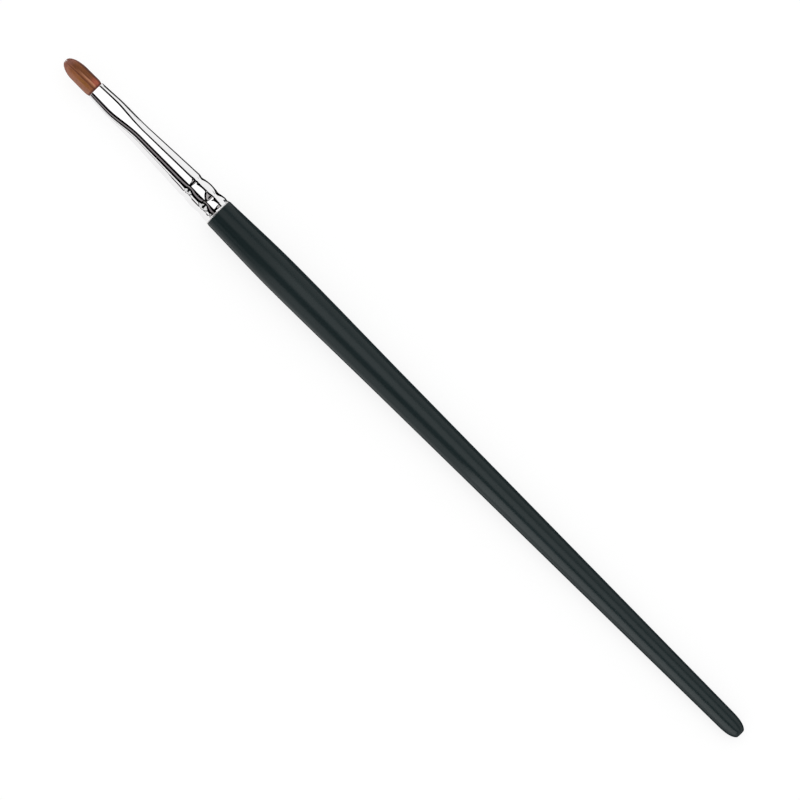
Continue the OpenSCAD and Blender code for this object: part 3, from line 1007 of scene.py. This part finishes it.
brown, dye, dye_shader = finish("red_brown_hair")
lock_tone, strand_tone, side, share = (
    dye.node("Attribute", {"attribute_name": fact}, out="Fac") for fact in HAIR_FACTS)
highlight_low_down = dye.fade_in(share, 0.75, 0.3)
near_mouth = dye.fade_in(share, 0.35, 0.1)
# where the hair meets the ferrule's mouth, for painted shade
shade_at_mouth = dye.fade_in(share, 0.075, 0.025)
at_tip = dye.fade_in(share, 0.72, 1.0)
golden_patch = streak(dye, side, -0.4, 0.25) * streak(dye, share, 0.32, 0.22)
dark_patch = streak(dye, side, 0.5, 0.35) * streak(dye, share, 0.55, 0.3)
print("the finish reads of each hair:", ", ".join(HAIR_FACTS))

# %% Brown hair
fine_tone = dye.noise(dye.stretched(300, 3000, 3000), 1)
tone = 0.5 * lock_tone + 0.35 * strand_tone + 0.15 * fine_tone
shade = dye.node("ValToRGB", {"stops": [
    (0.1, paint(88, 40, 16)), (0.5, paint(134, 76, 36)), (0.95, paint(176, 110, 68))]}, {"Fac": tone})
streaks = [
    (0.75 * streak(dye, side, 0.5, 0.5) * near_mouth, (188, 96, 74)),
    # a pale streak low in the middle: painted highlight
    (0.8 * streak(dye, side, 0.15, 0.12) * highlight_low_down, (204, 142, 108)),
    (0.8 * golden_patch, (146, 90, 26)),
    (0.7 * dark_patch, (122, 66, 20)),
    # a pale strip along the minus Y edge: painted sheen
    (0.6 * streak(dye, side, -1.0, 0.5), (176, 128, 112)),
    # darker hair along the plus Y edge: painted shade for a dark edge
    (0.85 * streak(dye, side, 1.0, 0.25), (82, 38, 34)),
    # darker hair along the line of the parting: painted shade
    (0.75 * streak(dye, side, -0.12, 0.1), (96, 40, 24)),
    (0.6 * at_tip, (176, 122, 112)),
    # darker roots at the mouth: painted shade where the ferrule's edge shades the hair
    (0.8 * shade_at_mouth, (88, 34, 28)),
]
for strength, colour in streaks:
    shade = dye.mixed(strength, shade, paint(*colour))
dye.plug(dye_shader, {"Base Color": shade, "Roughness": 0.42, "Specular IOR Level": 0.4})
for hairs in (upper_hairs, lower_hairs):
    hairs.data.materials.append(brown)
print(len(streaks), "streaks in the hair")

# %% [markdown]
# The core gets a plainer brown with fine streaks and a bump, so that it reads as more hair wherever it
# shows between the tubes. Its darker brown is painted shade, for hair that lies deep among the others.

# %% The deep hair
deep, shadow, shadow_shader = finish("deep_hair")
deep_streaks = shadow.noise(shadow.stretched(160, 5200, 5200), 1, detail=3)
shadow.plug(shadow_shader, {
    "Base Color": shadow.mixed(deep_streaks, paint(84, 44, 24), paint(122, 70, 40)),
    "Roughness": 0.6,
    "Normal": shadow.node("Bump", {}, {"Strength": 0.6, "Distance": 0.00005, "Height": deep_streaks}),
})
core.data.materials.append(deep)
print("the core is", deep.name)

# %% [markdown]
# ## Thread and glue
#
# Nobody sees these two once the brush is made, but they hold the hair: a waxed thread wound nine times
# round the root, and a plug of amber glue behind it. Their solids are already right, so they keep them
# and only get a finish: the fine twist of a waxed thread, and clear hard glue with a cloud in it.

# %% Finishes inside the ferrule
def dress_solid(node, material):
    """Gives a CAD piece, which keeps its own shape, one material."""
    slots = frame["nodes"][node].data.materials
    slots.clear()
    slots.append(material)
    print(f"{node} is {material.name}")


waxed, twist, twist_shader = finish("waxed_binding_thread")
fibre = twist.node("TexWave", {"bands_direction": "DIAGONAL"}, {
    "Vector": twist.stretched(900, 900, 900), "Scale": 9.0, "Distortion": 1.5, "Detail": 2.0})
twist.plug(twist_shader, {
    "Base Color": twist.mixed(fibre, paint(186, 170, 134), paint(224, 212, 182)),
    "Roughness": 0.5 + 0.15 * fibre,
    "Normal": twist.node("Bump", {}, {"Strength": 0.4, "Distance": 0.00002, "Height": fibre}),
})
dress_solid("binding_thread", waxed)

hard_glue, amber, amber_shader = finish("hard_amber_glue")
cloud = amber.noise(amber.stretched(700, 700, 700), 1, detail=3)
amber.plug(amber_shader, {
    "Base Color": amber.mixed(cloud, paint(150, 98, 40), paint(190, 140, 74)),
    "Roughness": 0.12 + 0.1 * cloud,
    "Coat Weight": 0.4,
})
dress_solid("glue_plug", hard_glue)

# %% [markdown]
# ## The size, and the end
#
# Both boxes are printed side by side: the CAD model's and the dressed brush's. The dressed
# brush may not outgrow the CAD model.

# %% Write the two boxes
low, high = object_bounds()
for axis, *ends in zip("xyz", cad_low, cad_high, low, high):
    a, b, c, d = (end * 1000 for end in ends)
    print(f"{axis}: CAD {a:.3f} to {b:.3f} mm, dressed {c:.3f} to {d:.3f} mm")
